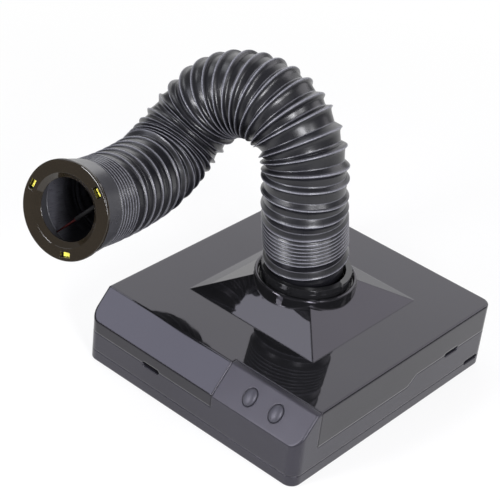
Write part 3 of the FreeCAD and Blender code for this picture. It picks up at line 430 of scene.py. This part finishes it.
# Bodies of the hose in order, with their lengths in millimetres
HOSE_START = 15.945
HOSE_SECTIONS = (
    ("coupler", 15.05),
    ("hose_root_stack", 35.399),
    ("hose_riser", 33.2),
    ("hose_arch_1", 36.4),
    ("hose_arch_2", 29.6),
    ("hose_arch_3", 26.3),
    ("hose_arch_4", 27.2),
    ("hose_arch_5", 36.1),
    ("hose_arch_6", 23.1),
    ("hose_elbow", 40.1),
    ("hose_reach_1", 21.8),
    ("hose_reach_2", 24.3),
    ("hose_reach_3", 28.0),
    ("nozzle", 27.909),
)

# The skin in millimetres: its crests, wall, sleeve in the coupler and end, and the points round a ring
CREST_R = 37.7
SKIN_WALL = 1.0
SLEEVE_R = 32.4
SLEEVE_FROM = 2.0
SLEEVE_TO = 17.6
END_R = CREST_R - 0.9
END_PAST = 0.5
END_GAP = 0.1
ROW_GAP = 0.05
AROUND = 120

# A fold: station of its crest, how far its ring leans back and to the right, and its depth after the crest
Fold = namedtuple("Fold", "station back right depth")
RIDGE_COUNT = 7
ROOT_FIRST, ROOT_PITCH, ROOT_DEPTH = 32.9, 3.84, 1.5
NOZZLE_FIRST, NOZZLE_PITCH, NOZZLE_DEPTH = 395.4, 3.75, 0.9
ARCH_DEPTH = 4.6
REACH_DEPTH = 1.4
CUFF = Fold(19.4, 2.0, 0.5, 2.2)
ROOT_RIDGES = [
    Fold(ROOT_FIRST + ROOT_PITCH * i, 1.5 + 0.2 * i, -0.22 * i, ROOT_DEPTH) for i in range(RIDGE_COUNT)
]
WIDE_FOLDS = [
    Fold(59.8, 2.0, -1.6, 1.6),
    Fold(70.2, 1.5, -2.0, 2.1),
    Fold(81.9, 1.0, -3.0, 2.8),
    Fold(96.1, 4.0, -0.5, 3.4),
    Fold(104.0, 0.0, 0.0, 4.2),
    Fold(115.8, 1.5, -0.5, ARCH_DEPTH),
    Fold(125.9, 1.0, 0.0, ARCH_DEPTH),
    Fold(140.3, 4.0, -3.2, ARCH_DEPTH),
    Fold(147.7, 1.0, -2.5, ARCH_DEPTH),
    Fold(158.9, 1.5, -3.5, ARCH_DEPTH),
    Fold(169.0, 1.5, -4.0, ARCH_DEPTH),
    Fold(178.0, 1.0, -3.0, ARCH_DEPTH),
    Fold(186.4, 1.0, -2.0, ARCH_DEPTH),
    Fold(194.3, 0.5, -1.0, ARCH_DEPTH),
    Fold(203.5, 1.0, -0.5, ARCH_DEPTH),
    Fold(211.2, 0.6, 1.2, ARCH_DEPTH),
    Fold(220.2, 1.0, 2.0, ARCH_DEPTH),
    Fold(230.2, 2.0, 1.8, 4.4),
    Fold(244.5, 1.5, 0.5, 4.2),
    Fold(258.3, 2.0, -1.0, 3.8),
    Fold(272.3, -0.3, -1.0, 3.4),
    Fold(282.2, -1.2, 0.0, 3.0),
    Fold(291.7, 0.3, 0.8, 2.8),
    Fold(299.8, 2.0, 1.5, 2.8),
    Fold(307.2, 1.8, 0.0, 3.0),
    Fold(317.6, 1.5, -5.0, 3.0),
]
REACH_LINES = [
    Fold(334.1, 2.5, -1.0, REACH_DEPTH),
    Fold(346.9, 2.5, -1.0, REACH_DEPTH),
    Fold(359.2, 2.2, -0.8, REACH_DEPTH),
    Fold(371.2, 1.5, 0.0, REACH_DEPTH),
    Fold(383.8, 0.8, 1.0, REACH_DEPTH),
]
NOZZLE_RIDGES = [
    Fold(NOZZLE_FIRST + NOZZLE_PITCH * i, 0.0, 1.0 - 0.15 * i, NOZZLE_DEPTH) for i in range(RIDGE_COUNT)
]
RIDGES = ROOT_RIDGES + NOZZLE_RIDGES
FOLDS = [CUFF] + ROOT_RIDGES + WIDE_FOLDS + REACH_LINES + NOZZLE_RIDGES

# Where the crease lies between two crests: near the middle low on the hose, nearer to the first above
LOW_CREASE = 0.46
LOW_CREASE_END = 75.0
CREASE_PLACE = 0.34

# A row of the skin: station, radius, its share of the lighter tone (painted highlight on lips and creases,
# partly wear on the lips), and whether the inner wall has the row too
Row = namedtuple("Row", "station radius line inner")
# Shares of the lighter tone: painted highlight on crests (partly wear) and creases, painted light on the
# inner wall, none on plain rows
CREST, CREASE, PLAIN, INNER = 1.0, 0.45, 0.0, 0.45


# In the shapes below the third number is the share of the lighter tone, a painted highlight near crests and
# creases
def ridge_rows(pitch, depth):
    """A small round rib; its shape has place and depth as shares of pitch and depth."""
    shape = (
        (0.0, 0.0, CREST, True), (0.07, 0.03, CREST, False), (0.15, 0.14, 0.4, False),
        (0.27, 0.55, PLAIN, False), (0.40, 0.92, PLAIN, False), (0.50, 1.0, PLAIN, True),
        (0.62, 0.90, PLAIN, False), (0.75, 0.55, PLAIN, False), (0.86, 0.14, 0.4, False),
        (0.93, 0.03, CREST, False),
    )
    return [(place * pitch, share * depth, line, inner) for place, share, line, inner in shape]


def line_rows(pitch, depth):
    """A band that widens a little towards the next raised line."""
    return [
        (0.0, 0.0, CREST, True), (0.35, 0.05, CREST, False), (0.65, 0.20, 0.7, False),
        (0.95, 0.55 * depth, 0.2, False), (1.35, 0.88 * depth, PLAIN, False), (1.9, depth, PLAIN, True),
        (2.7, 0.98 * depth, PLAIN, False), (0.38 * pitch, 0.82 * depth, PLAIN, False),
        (0.6 * pitch, 0.60 * depth, PLAIN, False), (0.78 * pitch, 0.43 * depth, PLAIN, True),
        (pitch - 1.9, 0.36 * depth, PLAIN, False), (pitch - 1.35, 0.55 * depth, PLAIN, False),
        (pitch - 0.9, 0.45 * depth, 0.2, False), (pitch - 0.6, 0.20, 0.7, False),
        (pitch - 0.32, 0.05, CREST, False),
    ]


def fold_rows(pitch, depth, crease_place):
    """A sharp lip, a cone into the crease, and a neck that widens towards the next lip."""
    crease = crease_place * pitch
    lip, lip_depth = 0.60, 0.30
    cone_run = crease - 0.55 - lip
    cone_fall = depth - 0.22 - lip_depth
    neck = pitch - crease
    return [
        (0.0, 0.0, CREST, True), (0.22, 0.03, CREST, False), (0.42, 0.13, 0.8, False),
        (lip, lip_depth, 0.3, False),
        (lip + 0.3 * cone_run, lip_depth + 0.3 * cone_fall, PLAIN, False),
        (lip + 0.7 * cone_run, lip_depth + 0.7 * cone_fall, PLAIN, False),
        (crease - 0.55, depth - 0.24, PLAIN, False), (crease - 0.25, depth - 0.06, CREASE, False),
        (crease + 0.05, depth, CREASE, True), (crease + 0.4, depth - 0.02, PLAIN, False),
        (crease + 0.22 * neck, 0.93 * depth, PLAIN, False), (crease + 0.5 * neck, 0.80 * depth, PLAIN, False),
        (crease + 0.75 * neck, 0.63 * depth, PLAIN, True),
        (pitch - 1.25, 0.47 * depth, PLAIN, False), (pitch - 0.85, 0.36 * depth, PLAIN, False),
        (pitch - 0.55, 0.20 * depth, 0.2, False), (pitch - 0.36, 0.09, 0.8, False),
        (pitch - 0.18, 0.02, CREST, False),
    ]


def rows_after(fold, pitch):
    """The rows from one crest to the next."""
    if fold in RIDGES:
        return ridge_rows(pitch, fold.depth)
    if fold in REACH_LINES:
        return line_rows(pitch, fold.depth)
    return fold_rows(pitch, fold.depth, LOW_CREASE if fold.station < LOW_CREASE_END else CREASE_PLACE)


def hose_rows():
    """All rows of the hose, from the sleeve over the cuff's edge to the nozzle."""
    rows = [
        Row(SLEEVE_FROM, SLEEVE_R, PLAIN, True),
        Row(0.5 * (SLEEVE_FROM + SLEEVE_TO), SLEEVE_R, PLAIN, False),
        Row(SLEEVE_TO - 0.4, SLEEVE_R, PLAIN, True),
        Row(SLEEVE_TO, SLEEVE_R + 0.3, PLAIN, False),
        Row(CUFF.station - 0.9, CREST_R - 1.6, PLAIN, False),
        Row(CUFF.station - 0.45, CREST_R - 0.4, 0.5, False),
        Row(CUFF.station - 0.2, CREST_R - 0.06, CREST, False),
    ]
    ends = [fold.station for fold in FOLDS[1:]] + [HOSE_END + END_PAST]
    for fold, end in zip(FOLDS, ends):
        for place, depth, line, inner in rows_after(fold, end - fold.station):
            if fold.station + place < HOSE_END - END_GAP:
                rows.append(Row(fold.station + place, CREST_R - depth, line, inner))
    rows.append(Row(HOSE_END, END_R, PLAIN, True))
    return rows


def leans(station):
    """How far a ring leans back and to the right, between the two folds beside it."""
    known = [Fold(SLEEVE_FROM, 0.0, 0.0, 0.0)] + FOLDS + [Fold(HOSE_END, 0.0, 0.0, 0.0)]
    for one, two in zip(known, known[1:]):
        if one.station <= station <= two.station:
            share = (station - one.station) / (two.station - one.station)
            return one.back + (two.back - one.back) * share, one.right + (two.right - one.right) * share
    return 0.0, 0.0


def row_at(rows, station):
    """A row of both walls at any station."""
    for one, two in zip(rows, rows[1:]):
        if one.station <= station <= two.station:
            share = (station - one.station) / (two.station - one.station)
            radius = one.radius + (two.radius - one.radius) * share
            line = one.line + (two.line - one.line) * share
            return Row(station, radius, line, True)
    return rows[-1]


def ring_points(station, radius):
    """One ring of the hose, counted round from the side away from the photograph's viewpoint."""
    centre, along = route_frame(station)[:2]
    near = CAMERA_PLACE / MM - centre
    near = (near - along * near.dot(along)).normalized()
    right = along.cross(near)
    back, side = leans(station)
    points = []
    for k in range(AROUND):
        angle = 2.0 * math.pi * k / AROUND - math.pi
        c = math.cos(angle)
        s = math.sin(angle)
        shift = (side * s - back * c) * radius / CREST_R
        points.append((centre + (near * c + right * s) * radius + along * shift) * MM)
    return points


def tube_mesh(name, loop, points):
    """A closed tube through the rings of a loop of rows, with its place on the hose as UV."""
    quads = [
        ((i, k), (i, k + 1), (j, k + 1), (j, k))
        for i, j in zip(range(len(loop)), [*range(1, len(loop)), 0])
        for k in range(AROUND)
    ]
    faces = [[row * AROUND + column % AROUND for row, column in quad] for quad in quads]
    mesh = bpy.data.meshes.new(name)
    mesh.from_pydata(points, [], faces)
    uv = mesh.uv_layers.new(name="UVMap").data
    corners = [corner for quad in quads for corner in quad]
    for place, (row, column) in zip(uv, corners):
        place.uv = (column / AROUND, loop[row].station / HOSE_END)
    # Each point's share of the lighter tone: painted highlight on lips and creases, painted light on the
    # inner wall
    line_layer = mesh.attributes.new("fold_line", "FLOAT", "POINT")
    line_layer.data.foreach_set("value", [row.line for row in loop for k in range(AROUND)])
    mesh.polygons.foreach_set("use_smooth", [True] * len(mesh.polygons))
    mesh.validate()
    mesh.update()
    mesh.materials.append(hose.material)
    return mesh


def skin_piece(name, rows, low, high):
    """A closed bellows tube from one station to another, and the points of its two ends."""
    outer = [row_at(rows, low)]
    outer += [row for row in rows if low + ROW_GAP < row.station < high - ROW_GAP]
    outer.append(row_at(rows, high))
    # The inner wall takes the INNER share of the lighter tone, a painted light inside the bore
    inner = [Row(row.station, row.radius - SKIN_WALL, INNER, True) for row in reversed(outer) if row.inner]
    loop = outer + inner
    points = [point for row in loop for point in ring_points(row.station, row.radius)]
    piece = bpy.data.objects.new(name, tube_mesh(name, loop, points))
    scene.collection.objects.link(piece)
    low_ring = points[:AROUND] + points[-AROUND:]
    high_ring = points[(len(outer) - 1) * AROUND:(len(outer) + 1) * AROUND]
    return piece, low_ring, high_ring


# How far the window for a bend reaches each side of a joint, in metres, and further for the piece that pulls
# out; the window is worked out but no bend uses it
BEND_REACH = 0.012
CUFF_REACH = 0.004
STRETCH_REACH = 0.018
LEAST_REACH = 0.002

# The piece that pulls out, and the station of its lower seam in millimetres
STRETCH_PIECE = 1
STRETCH_SEAM = 42.5


def blend_window(low, high, low_ring, high_ring, middle_station, reach):
    """Where the bend starts and ends, so that both end rings stay whole."""
    first = route_frame(low)[0] * MM
    way = (route_frame(high)[0] * MM - first).normalized()
    start = max((p - first).dot(way) for p in low_ring)
    end = min((p - first).dot(way) for p in high_ring)
    middle = (route_frame(middle_station)[0] * MM - first).dot(way)
    start = max(start, middle - reach)
    end = min(end, middle + reach)
    if end - start < 2.0 * LEAST_REACH:
        start = middle - LEAST_REACH
        end = middle + LEAST_REACH
    return first + way * start, first + way * end


def make_hose():
    """One skin piece for each joint of the hose; most seams lie in the middle of a section."""
    rows = hose_rows()
    bodies = [name for name, length in HOSE_SECTIONS]
    joints = [HOSE_START + HOSE_SECTIONS[0][1]]
    for name, length in HOSE_SECTIONS[1:-1]:
        joints.append(joints[-1] + length)
    middles = [(a + b) / 2.0 for a, b in zip(joints[1:], joints[2:])]
    seams = [SLEEVE_FROM, STRETCH_SEAM, *middles, HOSE_END]
    for i, joint in enumerate(joints):
        low, high = seams[i], seams[i + 1]
        piece, low_ring, high_ring = skin_piece(f"hose_skin_{i + 1}", rows, low, high)
        middle = (low + high) / 2.0 if i == STRETCH_PIECE else joint
        reach = {0: CUFF_REACH, STRETCH_PIECE: STRETCH_REACH}.get(i, BEND_REACH)
        start, end = blend_window(low, high, low_ring, high_ring, middle, reach)
        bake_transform(piece)
        replaced = [bodies[i + 1] if i + 1 < len(joints) else "hose_nozzle_stack"]
        if i == 0:
            replaced.append("hose_cuff")
        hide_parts(*replaced)


make_hose()


# Stage in metres: a pale floor that turns white with the distance, a surround and softboxes
FLOOR_HALF = 4.0
FLOOR_FRONT = -0.42
FLOOR_DARK = (0.84, 0.84, 0.84)
FLOOR_LIGHT = (0.88, 0.88, 0.88)
WHITE_SHARE = (0.80, 1.0)
WHITE_REACH = (0.30, 0.80)


def make_floor():
    mesh = bpy.data.meshes.new("floor")
    corners = [
        (-FLOOR_HALF, FLOOR_FRONT, 0), (FLOOR_HALF, FLOOR_FRONT, 0),
        (FLOOR_HALF, FLOOR_HALF, 0), (-FLOOR_HALF, FLOOR_HALF, 0),
    ]
    mesh.from_pydata(corners, [], [(0, 1, 2, 3)])
    look = Look("floor_white")
    look.set(Base_Color=look.tones(look.noise(3.0), FLOOR_DARK, FLOOR_LIGHT), Roughness=0.9)
    look.set(Specular_IOR_Level=0.0)
    rays = look.node("ShaderNodeLightPath")
    seen = look.calc("MAXIMUM", rays.outputs["Is Camera Ray"], rays.outputs["Is Glossy Ray"])
    seen = look.calc("MAXIMUM", seen, rays.outputs["Is Transmission Ray"])
    glow = look.node("ShaderNodeEmission", Strength=1.0)
    reach = look.node("ShaderNodeVectorMath")
    reach.operation = "LENGTH"
    look.feed(reach.inputs[0], look.coords.outputs["Object"])
    white = look.between(reach.outputs["Value"], *WHITE_SHARE, *WHITE_REACH)
    blend = look.node("ShaderNodeMixShader", Fac=look.calc("MULTIPLY", seen, white))
    look.feed(blend.inputs[1], look.shader.outputs[0])
    look.feed(blend.inputs[2], glow.outputs[0])
    look.feed(look.tree.nodes["Material Output"].inputs["Surface"], blend.outputs[0])
    mesh.materials.append(look.material)
    floor = bpy.data.objects.new("floor", mesh)
    scene.collection.objects.link(floor)


# The surround is dim, with one bright part behind the object; the camera sees it white
BACKDROP_WAY = (-0.52, 0.75, 0.41)
BACKDROP_EDGE = (0.84, 0.95)
BACKDROP_LEVEL = (0.22, 1.75)
BACKDROP_TINT = (0.98, 0.98, 1.0, 1.0)


def make_world():
    world = bpy.data.worlds.new("studio")
    scene.world = world
    world.use_nodes = True
    tree = world.node_tree
    coords = tree.nodes.new("ShaderNodeTexCoord")
    facing = tree.nodes.new("ShaderNodeVectorMath")
    facing.operation = "DOT_PRODUCT"
    tree.links.new(coords.outputs["Generated"], facing.inputs[0])
    facing.inputs[1].default_value = BACKDROP_WAY
    level = tree.nodes.new("ShaderNodeMapRange")
    level.interpolation_type = "SMOOTHSTEP"
    tree.links.new(facing.outputs["Value"], level.inputs["Value"])
    ends = (*BACKDROP_EDGE, *BACKDROP_LEVEL)
    for name, value in zip(("From Min", "From Max", "To Min", "To Max"), ends):
        level.inputs[name].default_value = value
    surround = tree.nodes["Background"]
    surround.inputs["Color"].default_value = BACKDROP_TINT
    tree.links.new(level.outputs["Result"], surround.inputs["Strength"])
    plain = tree.nodes.new("ShaderNodeBackground")
    plain.inputs["Color"].default_value = (1.0, 1.0, 1.0, 1.0)
    plain.inputs["Strength"].default_value = 1.0
    rays = tree.nodes.new("ShaderNodeLightPath")
    blend = tree.nodes.new("ShaderNodeMixShader")
    tree.links.new(rays.outputs["Is Camera Ray"], blend.inputs[0])
    tree.links.new(surround.outputs[0], blend.inputs[1])
    tree.links.new(plain.outputs[0], blend.inputs[2])
    tree.links.new(blend.outputs[0], tree.nodes["World Output"].inputs["Surface"])


# Softboxes: name, azimuth, elevation, distance, width, height, watts, tint
LIGHT_AIM = Vector((-0.03, 0.0, 0.12))
SOFTBOXES = (
    ("front_softbox", -12.0, 20.0, 1.5, 0.30, 0.60, 17.0, (0.96, 0.96, 1.0)),
    ("right_softbox", 61.0, 24.0, 1.5, 0.31, 0.62, 19.0, (0.96, 0.96, 1.0)),
    ("edge_softbox", 90.0, 37.0, 1.5, 0.30, 0.30, 5.0, (0.97, 0.97, 1.0)),
    ("left_softbox", -40.5, 32.0, 1.6, 0.64, 0.52, 3.75, (0.86, 0.88, 1.0)),
    ("high_softbox", -88.0, 58.0, 1.5, 0.70, 0.56, 4.2, (0.93, 0.95, 1.0)),
    ("back_softbox", 161.0, 33.0, 1.6, 0.90, 1.20, 7.2, (0.97, 0.95, 1.0)),
)


def make_softbox(name, azimuth, elevation, distance, width, height, watts, tint):
    data = bpy.data.lights.new(name, "AREA")
    data.shape = "RECTANGLE"
    data.size = width
    data.size_y = height
    data.energy = watts
    data.color = tint
    lamp = bpy.data.objects.new(name, data)
    scene.collection.objects.link(lamp)
    way = way_to(azimuth, elevation)
    lamp.location = LIGHT_AIM + way * distance
    lamp.rotation_euler = way.to_track_quat("Z", "Y").to_euler()


make_floor()
make_world()
for softbox in SOFTBOXES:
    make_softbox(*softbox)
